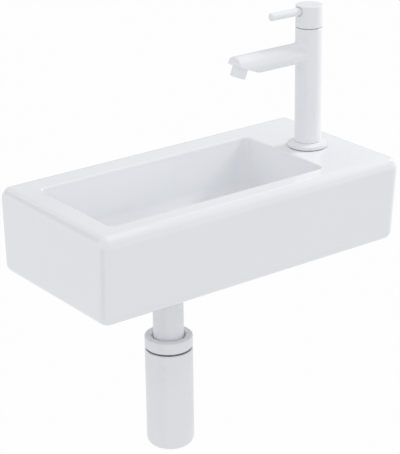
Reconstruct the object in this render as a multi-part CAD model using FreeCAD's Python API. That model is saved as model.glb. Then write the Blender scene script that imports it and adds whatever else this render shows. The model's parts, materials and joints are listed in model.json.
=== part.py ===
import FreeCAD, Part

import math
import os

# A small wall-hung hand basin with a single cold-water tap and a bottle trap, in millimetres.
# X runs along the basin to the right, Y towards the wall and Z up. The origin lies on the wall,
# midway between the two wall fixing holes.

V = FreeCAD.Vector
UP = V(0, 0, 1)
TO_WALL = V(0, 1, 0)

# Working values shared by all pieces
overrun = 2.0               # how far a cutting body passes the face that it cuts
thread_clearance = 0.15     # radial room between a male and a female thread
slip_clearance = 0.3        # radial room where a piece slides over another
running_clearance = 0.06    # radial room of a turning fit
lapped_gap = 0.05           # between the two faces of the ceramic discs

# Basin, outside
basin_length = 373.0
basin_depth = 182.0
basin_height = 92.2
end_draft = 1.8             # how far each end leans in at the foot
front_draft = 5.8           # how far the front leans in at the foot
basin_round = 11.0          # all outside edges, before the back is ground
wall_grinding = 7.0         # taken off the fired back, so that it stands flat on the wall
skirt_wall = 9.0
deck_thickness = 12.0
inner_upright_round = 6.0
fixing_height = 47.2        # wall holes above the foot
fixing_spacing = 240.0
fixing_hole_radius = 6.0

# Bowl
left_rim = 28.5
right_deck = 84.0
front_rim = 28.0
back_rim = 27.0
bowl_depth = 62.0           # at the foot of the bowl's walls
bowl_end_slope = 3.0        # how far the end walls lean in at the floor
bowl_long_slope = 5.0       # the same for the front and back walls
bowl_corner = 6.0           # plan radius at the rim
bowl_floor_corner = 22.0    # plan radius at the floor
bowl_floor_round = 17.0
bowl_edge_round = 3.0
bowl_wall = 8.0
floor_fall = 2.5            # from the walls to the waste

# Waste
waste_from_left = 136.5     # axis from the basin's left end
waste_hole_radius = 23.0
waste_recess_depth = 2.0
waste_floor_thickness = 10.5
waste_boss_margin = 5.0
waste_flange_radius = 31.5
waste_flange_thickness = 2.6
waste_flange_lip = 1.2      # flange thickness at its outer edge
waste_gasket_thickness = 1.5
tail_radius = 20.95
tail_bore = 18.5
tail_below_ceramic = 35.0
spider_bars = 3
spider_bar_width = 3.0
spider_bar_height = 5.0
spider_boss_radius = 6.0
cover_radius = 31.0
cover_lift = 7.0            # open gap between flange and cover
cover_thickness = 2.4
cover_crown = 2.6           # rise of the dome
cover_edge_round = 0.9
cover_stem_radius = 5.0
cover_screw_radius = 3.0
cover_screw_bite = 9.0
cover_screw_head_radius = 5.0
cover_screw_head_height = 3.0
backnut_seal_thickness = 3.5
backnut_seal_radius = 29.0
waste_backnut_height = 10.0
waste_backnut_radius = 29.0
waste_backnut_notches = 6
waste_backnut_notch_radius = 4.0

# Union between waste and tube
union_gasket_thickness = 2.0
tube_flare_thickness = 1.5
tube_flare_radius = 20.2
union_floor = 2.5
union_height = 18.0
union_wall = 2.6
union_ribs = 12
union_rib_radius = 1.4

# Tube and bottle trap
tube_radius = 16.0
tube_wall = 1.0
tube_reach = 19.5           # into the trap below the collar's top
trap_drop = 73.8            # collar's top below the basin's foot
trap_radius = 25.0
collar_height = 12.5
collar_top = 2.5
collar_hole_gap = 1.8       # open ring round the tube at the collar's top
collar_edge = 0.8
slip_ring_thickness = 0.8
collar_seal_thickness = 3.0
insert_flange_thickness = 1.2
seam_height = 2.0
seam_setback = 1.0
neck_radius = 22.2
neck_wall = 2.0
bottle_length = 110.5
bottle_wall = 2.0
bottle_base = 3.0
bottle_foot_round = 9.0
insert_wall = 1.5
insert_floor = 2.0
dip_radius = 17.0
dip_flat_offset = 5.0       # flat side of the dip tube from the axis, towards the wall
dip_foot_gap = 15.0         # below the dip tube, above the inside floor
outlet_below_seam = 31.5
outlet_bore = 16.2
outlet_wall = 2.6
outlet_inner_end = 7.5      # socket's inner end from the axis
outlet_lip = 1.5
outlet_groove_offset = 12.0
outlet_groove_width = 3.0
outlet_groove_depth = 1.6
outlet_seal_width = 2.6

# Tap column and spout
tap_from_right = 51.0
tap_hole_radius = 17.5
column_radius = 14.0
column_top_height = 128.8   # above the deck
column_foot_edge = 0.7      # bevel that leaves a shadow line above the flange
base_gasket_thickness = 0.8
base_gasket_setback = 0.6
flange_radius = 20.9
flange_edge_height = 3.2
flange_height = 5.2
flange_top_margin = 0.6     # flat ring round the column's foot
flange_spigot_length = 4.0
spout_radius = 10.9
spout_height = 103.3        # axis above the deck
spout_reach = 97.9          # tip from the column's axis
spout_bore = 5.0
spout_bore_lift = 4.0       # waterway above the spout's axis, clear of the slanting cut
spout_blend = 4.0
spout_tip_round = 1.2
cut_start = 66.5            # where the slanting underside starts, from the column's axis
cut_tilt = 22.0             # degrees
shank_radius = 10.48
shank_bore = 6.0
shank_socket = 12.0
shank_length = 75.0
shank_end_gap = 0.5
shank_connection = 22.0     # lower thread, for the supply
shank_relief_height = 2.5
shank_relief_depth = 0.9
clamp_radius = 23.0
clamp_seal_thickness = 3.0
clamp_washer_thickness = 2.0
tap_backnut_height = 10.0
tap_backnut_flats = 30.0

# Aerator
nozzle_along_cut = 25.2     # nozzle's axis from the start of the slanting cut
nozzle_radius = 8.0
nozzle_length = 10.5
nozzle_edge = 0.8
nozzle_thread_radius = 7.0
nozzle_thread_length = 5.0
nozzle_bore = 6.0
nozzle_inlet_depth = 7.0    # from the slanting cut up into the waterway
nozzle_stop = 5.2           # bore of the lip that holds the cartridge
nozzle_stop_height = 1.2
aerator_washer_thickness = 1.4
aerator_cartridge_height = 10.0
aerator_flow_ring = 3.4     # radius of the circle of flow holes
aerator_flow_holes = 8
aerator_flow_radius = 0.9

# Ceramic-disc valve
valve_seat_height = 88.0    # above the deck
valve_chamber = 10.55
valve_seal_thickness = 2.0
valve_seal_radius = 8.8
valve_seal_bore = 5.4
valve_sleeve_radius = 9.2
valve_sleeve_bore = 7.8
valve_thread_length = 12.0
valve_flange_radius = 12.2
valve_flange_thickness = 3.0
valve_flange_flats = 21.0
valve_window_width = 8.0
valve_window_low = 7.5      # above the seat seal
valve_window_high = 18.0
valve_stop_low = 19.0
valve_stop_high = 23.0
valve_stop_angle = 206.0    # degrees
disc_radius = 7.5
disc_thickness = 3.0
disc_port_radius = 5.2
disc_port_bridge = 1.2
driver_thickness = 3.0
driver_tang_width = 2.0
driver_tang_depth = 1.5
stop_lug_angle = 60.0       # degrees
stop_slack_angle = 2.0      # degrees left before the lug meets the stop
spindle_radius = 4.5
spindle_ring_offset = 27.0  # O-ring above the seat seal
spindle_ring_height = 1.8
spindle_ring_depth = 1.2
spline_radius = 4.0
spline_teeth = 20
spline_tooth_depth = 0.45
circlip_thickness = 0.9
circlip_radius = 6.2
circlip_groove_depth = 0.7
circlip_gap_width = 3.0

# Handle
glide_ring_height = 0.8
glide_ring_setback = 0.8
glide_ring_wall = 1.0
head_gap = 0.3              # between glide ring and head
head_height = 22.6
head_edge = 0.9
head_seam_edge = 0.35       # bevels above and below the seam
head_hollow_depth = 5.6
head_hollow_radius = 12.7
head_socket_depth = 13.0
lever_height = 147.0        # pin's axis above the deck, at the column's axis
lever_rise = 0.0            # degrees
lever_radius = 4.0
lever_reach = 51.0
lever_tip_round = 0.9
lever_thread_radius = 2.5
lever_thread_end = 6.5      # from the column's axis
lever_shoulder = 12.6       # where the pin's full size starts, from the column's axis
lever_spot_radius = 5.3
lever_spot_floor = 12.4
grub_height = 138.5         # above the deck
grub_radius = 2.0
grub_outer = 13.2
grub_socket_radius = 1.0
grub_socket_depth = 2.0

# Levels and axes that follow from the sizes above
foot = -fixing_height
rim = foot + basin_height
left_end = -basin_length / 2
right_end = basin_length / 2
waste_x = left_end + waste_from_left
tap_x = right_end - tap_from_right
mid_y = -basin_depth / 2
WASTE = V(waste_x, mid_y, 0)
TAP = V(tap_x, mid_y, 0)

floor_edge = rim - bowl_depth
floor_low = floor_edge - floor_fall
waste_seat = floor_low - waste_recess_depth
waste_underside = waste_seat - waste_floor_thickness
flange_under = waste_seat + waste_gasket_thickness
flange_top = flange_under + waste_flange_thickness
waste_recess_radius = waste_flange_radius + slip_clearance
tail_end = waste_underside - tail_below_ceramic
tube_top = tail_end - union_gasket_thickness
union_bottom = tube_top - tube_flare_thickness - union_floor

collar_level = foot - trap_drop
seal_top = collar_level - collar_top - slip_ring_thickness
insert_top = seal_top - collar_seal_thickness
neck_top = insert_top - insert_flange_thickness
seam_top = collar_level - collar_height
shoulder = seam_top - seam_height
bottle_bottom = shoulder - bottle_length
tube_end = collar_level - tube_reach
insert_floor_top = tube_end - slip_clearance
dip_end = bottle_bottom + bottle_base + dip_foot_gap
outlet_level = shoulder - outlet_below_seam
insert_bore = tube_radius + slip_clearance

base_level = rim + base_gasket_thickness
column_foot = base_level + flange_height
column_top = rim + column_top_height
spout_level = rim + spout_height
deck_under = rim - deck_thickness
valve_seat = rim + valve_seat_height
disc_level = valve_seat + valve_seal_thickness
turning_level = disc_level + disc_thickness + lapped_gap
driver_level = turning_level + disc_thickness
valve_top = column_top + valve_flange_thickness
head_bottom = column_top + glide_ring_height + head_gap
head_top = head_bottom + head_height
spindle_top = head_bottom + head_socket_depth


def turned(axis, points):
    """Solid of revolution about an upright axis, from (radius, level) points."""
    corners = [axis + V(radius, 0, level) for radius, level in points]
    face = Part.Face(Part.makePolygon(corners + corners[:1]))
    return face.revolve(axis, UP, 360)


def rod(axis, radius, low, high):
    return Part.makeCylinder(radius, high - low, axis + V(0, 0, low), UP)


def washer(axis, outer, inner, low, high):
    return turned(axis, [(inner, low), (outer, low), (outer, high), (inner, high)])


def sector(axis, outer, inner, low, high, start, sweep):
    """Part of a ring between two angles, in degrees."""
    begin = math.radians(start)
    along = V(math.cos(begin), math.sin(begin), 0)
    near, far = axis + along * inner, axis + along * outer
    corners = [near + V(0, 0, low), far + V(0, 0, low), far + V(0, 0, high), near + V(0, 0, high)]
    face = Part.Face(Part.makePolygon(corners + corners[:1]))
    return face.revolve(axis, UP, sweep)


def polar(axis, radius, angle, level=0.0):
    turn = math.radians(angle)
    return axis + V(radius * math.cos(turn), radius * math.sin(turn), level)


def hexagon(axis, flats, low, high):
    corners = [polar(axis, flats / math.sqrt(3), 60 * side, low) for side in range(6)]
    return Part.Face(Part.makePolygon(corners + corners[:1])).extrude(UP * (high - low))


def rings(shape, axis, radius, level):
    """The round edges of a shape that lie about an upright axis at one level."""
    found = []
    for edge in shape.Edges:
        if not edge.Degenerated and isinstance(edge.Curve, Part.Circle):
            off = edge.Curve.Center - axis - V(0, 0, level)
            if off.Length < 1e-6 * basin_length and abs(edge.Curve.Radius - radius) < 1e-6 * basin_length:
                found.append(edge)
    return found


def level_edges(shape, level, inside=None):
    """The edges that lie wholly at one level, or those of them inside a box in plan."""
    near = 1e-6 * basin_length
    found = []
    for edge in shape.Edges:
        box = edge.BoundBox
        if abs(box.ZMin - level) < near and abs(box.ZMax - level) < near:
            if inside is None or inside.isInside(edge.CenterOfMass):
                found.append(edge)
    return found


def rounded_rectangle(left, right, front, back, radius, level):
    """Closed wire of four sides and four quarter arcs, which starts with the front side."""
    diagonal = radius * math.sqrt(0.5)
    centres = [(right - radius, front + radius, 1, -1), (right - radius, back - radius, 1, 1),
               (left + radius, back - radius, -1, 1), (left + radius, front + radius, -1, -1)]
    arcs = []
    for x, y, side_x, side_y in centres:
        end_on_side = V(x + side_x * radius, y, level)
        end_on_face = V(x, y + side_y * radius, level)
        middle = V(x + side_x * diagonal, y + side_y * diagonal, level)
        ends = (end_on_face, end_on_side) if side_x * side_y < 0 else (end_on_side, end_on_face)
        arcs.append(Part.Arc(ends[0], middle, ends[1]))
    edges = []
    for index, arc in enumerate(arcs):
        edges.append(Part.LineSegment(arcs[index - 1].EndPoint, arc.StartPoint).toShape())
        edges.append(arc.toShape())
    return Part.Wire(edges)


def octant_circle(axis, radius, level):
    """A circle in eight arcs that pair with the sides and corners of a rounded rectangle."""
    edges = []
    for index in range(8):
        start = -112.5 + 45 * index
        points = [polar(axis, radius, start + share * 45, level) for share in (0, 0.5, 1)]
        edges.append(Part.Arc(*points).toShape())
    return Part.Wire(edges)


def basin_block(inset, back, low, high):
    """The drafted outside of the basin, or with an inset the space inside its skirt."""
    lean_low = (rim - low) / basin_height
    lean_high = (rim - high) / basin_height
    # a wedge grows along Y, so it is made lying down and then set up
    block = Part.makeWedge(
        left_end + end_draft * lean_low + inset, low, -back, -back, left_end + end_draft * lean_high + inset,
        right_end - end_draft * lean_low - inset, high, basin_depth - front_draft * lean_low - inset,
        basin_depth - front_draft * lean_high - inset, right_end - end_draft * lean_high - inset)
    block.rotate(V(0, 0, 0), V(1, 0, 0), 90)
    return block


def bowl_outline(level, grow, lean, corner):
    return rounded_rectangle(
        left_end + left_rim + bowl_end_slope * lean - grow,
        right_end - right_deck - bowl_end_slope * lean + grow,
        -basin_depth + front_rim + bowl_long_slope * lean - grow,
        -back_rim - bowl_long_slope * lean + grow, corner + grow, level)


def bowl_hollow():
    """The space inside the bowl, whose floor falls from all sides to the round waste recess."""
    top = bowl_outline(rim, 0, 0, bowl_corner)
    knee = bowl_outline(floor_edge, 0, 1, bowl_floor_corner)
    walls = Part.makeLoft([knee, top], True, True)
    walls = walls.makeFillet(bowl_floor_round, level_edges(walls, floor_edge))
    flat = bowl_outline(floor_edge, -bowl_floor_round, 1, bowl_floor_corner)
    drain = octant_circle(WASTE, waste_recess_radius, floor_low)
    return walls.fuse(Part.makeLoft([drain, flat], True, True))


def bowl_outside():
    """The bowl with its wall, as it shows from below, and the flat boss round the waste."""
    low = floor_low - bowl_wall
    top = bowl_outline(rim, bowl_wall, 0, bowl_corner)
    bottom = bowl_outline(low, bowl_wall, 1, bowl_floor_corner)
    body = Part.makeLoft([bottom, top], True, True)
    body = body.makeFillet(bowl_floor_round, level_edges(body, low))
    boss = rod(WASTE, waste_recess_radius + waste_boss_margin, waste_underside, floor_low)
    return body.fuse(boss)


def make_basin():
    block = basin_block(0, wall_grinding, foot, rim)
    block = block.makeFillet(basin_round, block.Edges)
    ground = Part.makeBox(basin_length, wall_grinding, basin_height, V(left_end, 0, foot))
    inside = basin_block(skirt_wall, -skirt_wall, foot - overrun, deck_under)
    uprights = [edge for edge in inside.Edges if edge.BoundBox.ZLength > skirt_wall]
    inside = inside.makeFillet(inner_upright_round, uprights)
    basin = block.cut(ground).cut(inside.cut(bowl_outside())).cut(bowl_hollow())
    opening = FreeCAD.BoundBox(left_end + skirt_wall, -basin_depth + skirt_wall, rim - overrun,
                               right_end - right_deck + skirt_wall, -skirt_wall, rim + overrun)
    basin = basin.makeFillet(bowl_edge_round, level_edges(basin, rim, opening))
    basin = basin.cut(rod(WASTE, waste_recess_radius, waste_seat, floor_low + overrun))
    basin = basin.cut(rod(WASTE, waste_hole_radius, waste_underside - overrun, floor_low))
    basin = basin.cut(rod(TAP, tap_hole_radius, deck_under - overrun, rim + overrun))
    for side in (-1, 1):
        start = V(side * fixing_spacing / 2, -skirt_wall - overrun, 0)
        basin = basin.cut(Part.makeCylinder(fixing_hole_radius, skirt_wall + 2 * overrun, start, TO_WALL))
    return basin


def make_waste_body():
    body = turned(WASTE, [
        (tail_bore, tail_end), (tail_radius, tail_end), (tail_radius, flange_under),
        (waste_flange_radius, flange_under), (waste_flange_radius, flange_under + waste_flange_lip),
        (tail_radius, flange_top), (tail_bore, flange_under)])
    bars_low = flange_under - spider_bar_height
    for bar in range(spider_bars):
        blade = Part.makeBox(tail_bore + overrun / 2, spider_bar_width, spider_bar_height,
                             V(0, -spider_bar_width / 2, 0))
        blade.rotate(V(0, 0, 0), UP, 90 + 360 / spider_bars * bar)
        blade.translate(WASTE + V(0, 0, bars_low))
        body = body.fuse(blade)
    body = body.fuse(rod(WASTE, spider_boss_radius, bars_low, flange_under))
    return body.cut(rod(WASTE, cover_screw_radius + slip_clearance, bars_low - overrun, flange_top))


def make_waste_cover():
    under = flange_top + cover_lift
    edge = under + cover_thickness
    top = edge + cover_crown
    # the dome is an arc through the crown and the edge
    dome_radius = (cover_radius ** 2 + cover_crown ** 2) / (2 * cover_crown)
    cap = rod(WASTE, cover_radius, under, top)
    dome = Part.makeSphere(dome_radius, WASTE + V(0, 0, top - dome_radius))
    cap = cap.common(dome)
    cap = cap.makeFillet(cover_edge_round, rings(cap, WASTE, cover_radius, under))
    cap = cap.fuse(rod(WASTE, cover_stem_radius, flange_under, edge))
    return cap.cut(rod(WASTE, cover_screw_radius, flange_under - overrun, flange_under + cover_screw_bite))


def make_waste_cover_screw():
    seat = flange_under - spider_bar_height
    head = rod(WASTE, cover_screw_head_radius, seat - cover_screw_head_height, seat)
    shaft = rod(WASTE, cover_screw_radius - running_clearance, seat, flange_under + cover_screw_bite)
    screw = head.fuse(shaft)
    low = seat - cover_screw_head_height
    screw = screw.makeFillet(cover_screw_head_height / 3, rings(screw, WASTE, cover_screw_head_radius, low))
    slot = Part.makeBox(2 * cover_screw_head_radius, cover_screw_radius / 2, cover_screw_head_height,
                        WASTE + V(-cover_screw_head_radius, -cover_screw_radius / 4,
                                  low - cover_screw_head_height / 2))
    return screw.cut(slot)


def make_waste_flange_gasket():
    return washer(WASTE, waste_flange_radius, waste_hole_radius, waste_seat, flange_under)


def make_waste_backnut_seal():
    low = waste_underside - backnut_seal_thickness
    return washer(WASTE, backnut_seal_radius, tail_radius + slip_clearance, low, waste_underside)


def make_waste_backnut():
    high = waste_underside - backnut_seal_thickness
    low = high - waste_backnut_height
    nut = washer(WASTE, waste_backnut_radius, tail_radius + thread_clearance, low, high)
    for notch in range(waste_backnut_notches):
        centre = polar(WASTE, waste_backnut_radius, 360 / waste_backnut_notches * notch)
        nut = nut.cut(rod(centre, waste_backnut_notch_radius, low - overrun,
                          high - waste_backnut_height / 3))
    return nut


def make_tail_union_gasket():
    return washer(WASTE, tail_radius, tube_radius - tube_wall, tube_top, tail_end)


def make_tail_union_nut():
    bore = tail_radius + thread_clearance
    outer = bore + union_wall
    high = union_bottom + union_height
    shelf = union_bottom + union_floor
    nut = turned(WASTE, [
        (tube_radius + slip_clearance, union_bottom), (outer, union_bottom), (outer, high), (bore, high),
        (bore, shelf), (tube_radius + slip_clearance, shelf)])
    for rib in range(union_ribs):
        centre = polar(WASTE, outer, 360 / union_ribs * rib)
        nut = nut.fuse(rod(centre, union_rib_radius, union_bottom, high))
    return nut


def make_inlet_tube():
    flare_low = tube_top - tube_flare_thickness
    inner = tube_radius - tube_wall
    return turned(WASTE, [
        (inner, tube_end), (tube_radius, tube_end), (tube_radius, flare_low), (tube_flare_radius, flare_low),
        (tube_flare_radius, tube_top), (inner, tube_top)])


def make_trap_collar():
    bore = neck_radius + thread_clearance
    hole = tube_radius + collar_hole_gap
    under = collar_level - collar_top
    collar = turned(WASTE, [
        (hole, under), (bore, under), (bore, seam_top), (trap_radius, seam_top),
        (trap_radius, collar_level), (hole, collar_level)])
    edges = rings(collar, WASTE, trap_radius, collar_level) + rings(collar, WASTE, hole, collar_level)
    edges += rings(collar, WASTE, trap_radius, seam_top)
    return collar.makeChamfer(collar_edge, edges)


def make_trap_slip_ring():
    return washer(WASTE, neck_radius, insert_bore, seal_top, seal_top + slip_ring_thickness)


def make_trap_collar_seal():
    """Tapered ring: its lower inside edge is bevelled into the mouth of the insert."""
    outer = neck_radius - thread_clearance
    half = collar_seal_thickness / 2
    return turned(WASTE, [
        (tube_radius + running_clearance, insert_top), (outer, insert_top), (outer, insert_top + half),
        (outer - half / 2, seal_top), (tube_radius + running_clearance, seal_top)])


def make_trap_neck_gasket():
    return washer(WASTE, trap_radius - seam_setback, neck_radius + thread_clearance, shoulder, seam_top)


def make_trap_bottle():
    inside = trap_radius - bottle_wall
    neck_bore = neck_radius - neck_wall
    inner_round = bottle_foot_round - bottle_wall
    bottle = turned(WASTE, [
        (0, bottle_bottom), (trap_radius, bottle_bottom), (trap_radius, shoulder), (neck_radius, shoulder),
        (neck_radius, neck_top), (neck_bore, neck_top), (neck_bore, shoulder - bottle_wall),
        (inside, shoulder - bottle_wall), (inside, bottle_bottom + bottle_base),
        (0, bottle_bottom + bottle_base)])
    bottle = bottle.makeFillet(bottle_foot_round, rings(bottle, WASTE, trap_radius, bottle_bottom))
    bottle = bottle.makeFillet(inner_round, rings(bottle, WASTE, inside, bottle_bottom + bottle_base))
    bottle = bottle.makeChamfer(collar_edge, rings(bottle, WASTE, trap_radius, shoulder))
    hole = Part.makeCylinder(outlet_bore + outlet_wall, trap_radius + overrun,
                             WASTE + V(0, 0, outlet_level), TO_WALL)
    return bottle.cut(hole)


def make_trap_outlet_socket():
    """Short tube soldered into the back of the bottle and dressed flush with its outside."""
    start = WASTE + V(0, outlet_inner_end, outlet_level)
    reach = trap_radius + overrun - outlet_inner_end
    socket = Part.makeCylinder(outlet_bore + outlet_wall - running_clearance, reach, start, TO_WALL)
    socket = socket.common(rod(WASTE, trap_radius, bottle_bottom, shoulder))
    lip_bore = outlet_bore - outlet_lip
    socket = socket.cut(Part.makeCylinder(lip_bore, reach + overrun, start - TO_WALL * overrun, TO_WALL))
    socket = socket.cut(Part.makeCylinder(outlet_bore, reach, start + TO_WALL * outlet_lip, TO_WALL))
    groove = WASTE + V(0, outlet_groove_offset, outlet_level)
    return socket.cut(Part.makeCylinder(
        outlet_bore + outlet_groove_depth, outlet_groove_width, groove, TO_WALL))


def make_trap_outlet_seal():
    side_gap = (outlet_groove_width - outlet_seal_width) / 2
    start = WASTE + V(0, outlet_groove_offset + side_gap, outlet_level)
    outer = Part.makeCylinder(outlet_bore + outlet_groove_depth - running_clearance, outlet_seal_width,
                              start, TO_WALL)
    return outer.cut(Part.makeCylinder(outlet_bore, outlet_seal_width, start, TO_WALL))


def dip_section(radius, flat, low, high):
    """Upright D-shaped bar: a round with its wall side cut flat."""
    bar = rod(WASTE, radius, low, high)
    away = Part.makeBox(2 * radius, 2 * radius, high - low, WASTE + V(-radius, flat, low))
    return bar.cut(away)


def make_trap_dip_insert():
    neck_bore = neck_radius - neck_wall
    outer = neck_bore - slip_clearance
    floor_low_level = insert_floor_top - insert_floor
    cup = turned(WASTE, [
        (0, floor_low_level), (outer, floor_low_level), (outer, neck_top), (neck_radius, neck_top),
        (neck_radius, insert_top), (insert_bore, insert_top), (insert_bore, insert_floor_top),
        (0, insert_floor_top)])
    pipe = dip_section(dip_radius, dip_flat_offset, dip_end, floor_low_level)
    inside = dip_section(dip_radius - insert_wall, dip_flat_offset - insert_wall,
                         dip_end - overrun, insert_floor_top + overrun)
    return cup.fuse(pipe).cut(inside)


def make_tap_base_gasket():
    inner = tap_hole_radius + slip_clearance
    return washer(TAP, flange_radius - base_gasket_setback, inner, rim, base_level)


def make_tap_base_flange():
    spigot = tap_hole_radius - slip_clearance
    bore = shank_radius + slip_clearance
    low = rim - flange_spigot_length
    return turned(TAP, [
        (bore, low), (spigot, low), (spigot, base_level), (flange_radius, base_level),
        (flange_radius, base_level + flange_edge_height), (column_radius + flange_top_margin, column_foot),
        (bore, column_foot)])


def along_spout(distance, level):
    return TAP + V(-distance, 0, level)


def cut_point(along):
    """A point on the slanting underside of the spout's end, in the spout's middle plane."""
    tilt = math.radians(cut_tilt)
    start = along_spout(cut_start, spout_level - spout_radius)
    return start + V(-math.cos(tilt), 0, math.sin(tilt)) * along


def square_to_cut(shape):
    """Tilts a piece made about the origin's upright axis, and sets it on the slanting underside."""
    shape.rotate(V(0, 0, 0), TO_WALL, cut_tilt)
    shape.translate(cut_point(nozzle_along_cut))
    return shape


def make_tap_body():
    column = rod(TAP, column_radius, column_foot, column_top)
    column = column.makeChamfer(column_foot_edge, rings(column, TAP, column_radius, column_foot))
    column = column.makeChamfer(head_seam_edge, rings(column, TAP, column_radius, column_top))
    spout = Part.makeCylinder(spout_radius, spout_reach, along_spout(0, spout_level), V(-1, 0, 0))
    tip = [edge for edge in spout.Edges if abs(edge.CenterOfMass.x - tap_x + spout_reach) < overrun / 100]
    spout = spout.makeFillet(spout_tip_round, tip)
    slab = Part.makeBox(2 * spout_reach, 4 * spout_radius, 2 * spout_radius,
                        V(-2 * spout_reach, -2 * spout_radius, -2 * spout_radius))
    slab.rotate(V(0, 0, 0), TO_WALL, cut_tilt)
    slab.translate(cut_point(0))
    spout = spout.cut(slab)
    body = column.fuse(spout)
    joint = [edge for edge in body.Edges
             if edge.BoundBox.ZMin > spout_level - 2 * spout_radius
             and edge.BoundBox.ZMax < spout_level + 2 * spout_radius
             and edge.BoundBox.XMin > tap_x - column_radius - overrun
             and edge.BoundBox.XMax < tap_x - overrun]
    body = body.makeFillet(spout_blend, joint)
    body = body.cut(rod(TAP, shank_radius + thread_clearance, column_foot - overrun,
                        column_foot + shank_socket))
    body = body.cut(rod(TAP, shank_bore, column_foot, valve_seat + overrun))
    body = body.cut(rod(TAP, valve_chamber, valve_seat, column_top + overrun))
    nozzle_distance = tap_x - cut_point(nozzle_along_cut).x
    waterway = Part.makeCylinder(spout_bore, nozzle_distance,
                                 along_spout(0, spout_level + spout_bore_lift), V(-1, 0, 0))
    thread = Part.makeCylinder(nozzle_thread_radius + thread_clearance,
                               nozzle_thread_length + slip_clearance)
    inlet = Part.makeCylinder(nozzle_bore, nozzle_inlet_depth)
    return body.cut(waterway).cut(square_to_cut(thread.fuse(inlet)))


def make_tap_shank():
    """Threaded tail with a turned relief between its clamping thread and its supply thread."""
    high = column_foot + shank_socket - shank_end_gap
    low = high - shank_length
    relief_low = low + shank_connection
    relief_high = relief_low + shank_relief_height
    return turned(TAP, [
        (shank_bore, low), (shank_radius, low), (shank_radius, relief_low),
        (shank_radius - shank_relief_depth, relief_low), (shank_radius - shank_relief_depth, relief_high),
        (shank_radius, relief_high), (shank_radius, high), (shank_bore, high)])


def make_tap_clamp_seal():
    low = deck_under - clamp_seal_thickness
    return washer(TAP, clamp_radius, shank_radius + slip_clearance, low, deck_under)


def make_tap_clamp_washer():
    high = deck_under - clamp_seal_thickness
    return washer(TAP, clamp_radius, shank_radius + slip_clearance, high - clamp_washer_thickness, high)


def make_tap_backnut():
    high = deck_under - clamp_seal_thickness - clamp_washer_thickness
    low = high - tap_backnut_height
    # the corners are turned off to the circle that a hexagonal bar is chamfered to
    turned_off = turned(TAP, [
        (0, low), (tap_backnut_flats / 2, low),
        (tap_backnut_flats / math.sqrt(3), low + tap_backnut_height / 6),
        (tap_backnut_flats / math.sqrt(3), high), (0, high)])
    nut = hexagon(TAP, tap_backnut_flats, low, high).common(turned_off)
    return nut.cut(rod(TAP, shank_radius + thread_clearance, low - overrun, high + overrun))


def make_aerator_housing():
    origin = V(0, 0, 0)
    housing = turned(origin, [
        (nozzle_stop, -nozzle_length), (nozzle_radius, -nozzle_length), (nozzle_radius, 0),
        (nozzle_thread_radius, 0), (nozzle_thread_radius, nozzle_thread_length),
        (nozzle_bore, nozzle_thread_length), (nozzle_bore, nozzle_stop_height - nozzle_length),
        (nozzle_stop, nozzle_stop_height - nozzle_length)])
    housing = housing.makeFillet(nozzle_edge, rings(housing, origin, nozzle_radius, -nozzle_length))
    return square_to_cut(housing)


def make_aerator_cartridge():
    origin = V(0, 0, 0)
    low = nozzle_stop_height - nozzle_length
    body = rod(origin, nozzle_bore - running_clearance, low, low + aerator_cartridge_height)
    body = body.cut(rod(origin, nozzle_stop, low + 2 * nozzle_stop_height, low + aerator_cartridge_height))
    for hole in range(aerator_flow_holes):
        centre = polar(origin, aerator_flow_ring, 360 / aerator_flow_holes * hole)
        body = body.cut(rod(centre, aerator_flow_radius, low - overrun, low + aerator_cartridge_height))
    body = body.cut(rod(origin, aerator_flow_radius, low - overrun, low + aerator_cartridge_height))
    return square_to_cut(body)


def make_aerator_washer():
    low = nozzle_stop_height - nozzle_length + aerator_cartridge_height
    return square_to_cut(washer(V(0, 0, 0), nozzle_bore - running_clearance, nozzle_stop, low,
                                low + aerator_washer_thickness))


def make_valve_seat_seal():
    return washer(TAP, valve_seal_radius, valve_seal_bore, valve_seat, disc_level)


def make_valve_body():
    thread_low = column_top - valve_thread_length
    stop_roof = disc_level + valve_stop_high
    shaft_bore = spindle_radius + running_clearance
    thread = valve_chamber - thread_clearance
    body = turned(TAP, [
        (valve_sleeve_bore, disc_level), (valve_sleeve_radius, disc_level),
        (valve_sleeve_radius, thread_low),
        (thread, thread_low), (thread, column_top), (valve_flange_radius, column_top),
        (valve_flange_radius, valve_top), (shaft_bore, valve_top), (shaft_bore, stop_roof),
        (valve_sleeve_bore, stop_roof)])
    flats = hexagon(TAP, valve_flange_flats, column_top, valve_top)
    keep = rod(TAP, thread, disc_level - overrun, column_top).fuse(flats)
    body = body.common(keep)
    window = Part.makeBox(2 * valve_chamber, valve_window_width, valve_window_high - valve_window_low,
                          TAP + V(-valve_chamber, -valve_window_width / 2, disc_level + valve_window_low))
    inside = rod(TAP, valve_sleeve_bore, disc_level - overrun, stop_roof)
    body = body.cut(window.cut(inside))
    # the stop leaves the lug a quarter turn and a little slack
    stop_start = 180 + 90 + stop_lug_angle / 2 + stop_slack_angle
    stop = sector(TAP, valve_sleeve_bore, spindle_radius + slip_clearance, disc_level + valve_stop_low,
                  stop_roof, stop_start, valve_stop_angle)
    return body.fuse(stop)


def disc_ports(low, high, start):
    """Two opposite openings, each a fan of a quarter turn less the bridge between them."""
    fan = 90 - math.degrees(disc_port_bridge / disc_port_radius)
    first = sector(TAP, disc_port_radius, disc_port_bridge, low, high, start - fan / 2, fan)
    second = sector(TAP, disc_port_radius, disc_port_bridge, low, high, start + 180 - fan / 2, fan)
    return first.fuse(second)


def make_valve_fixed_disc():
    disc = rod(TAP, disc_radius, disc_level, disc_level + disc_thickness)
    return disc.cut(disc_ports(disc_level - overrun, disc_level + disc_thickness + overrun, 0))


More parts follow.
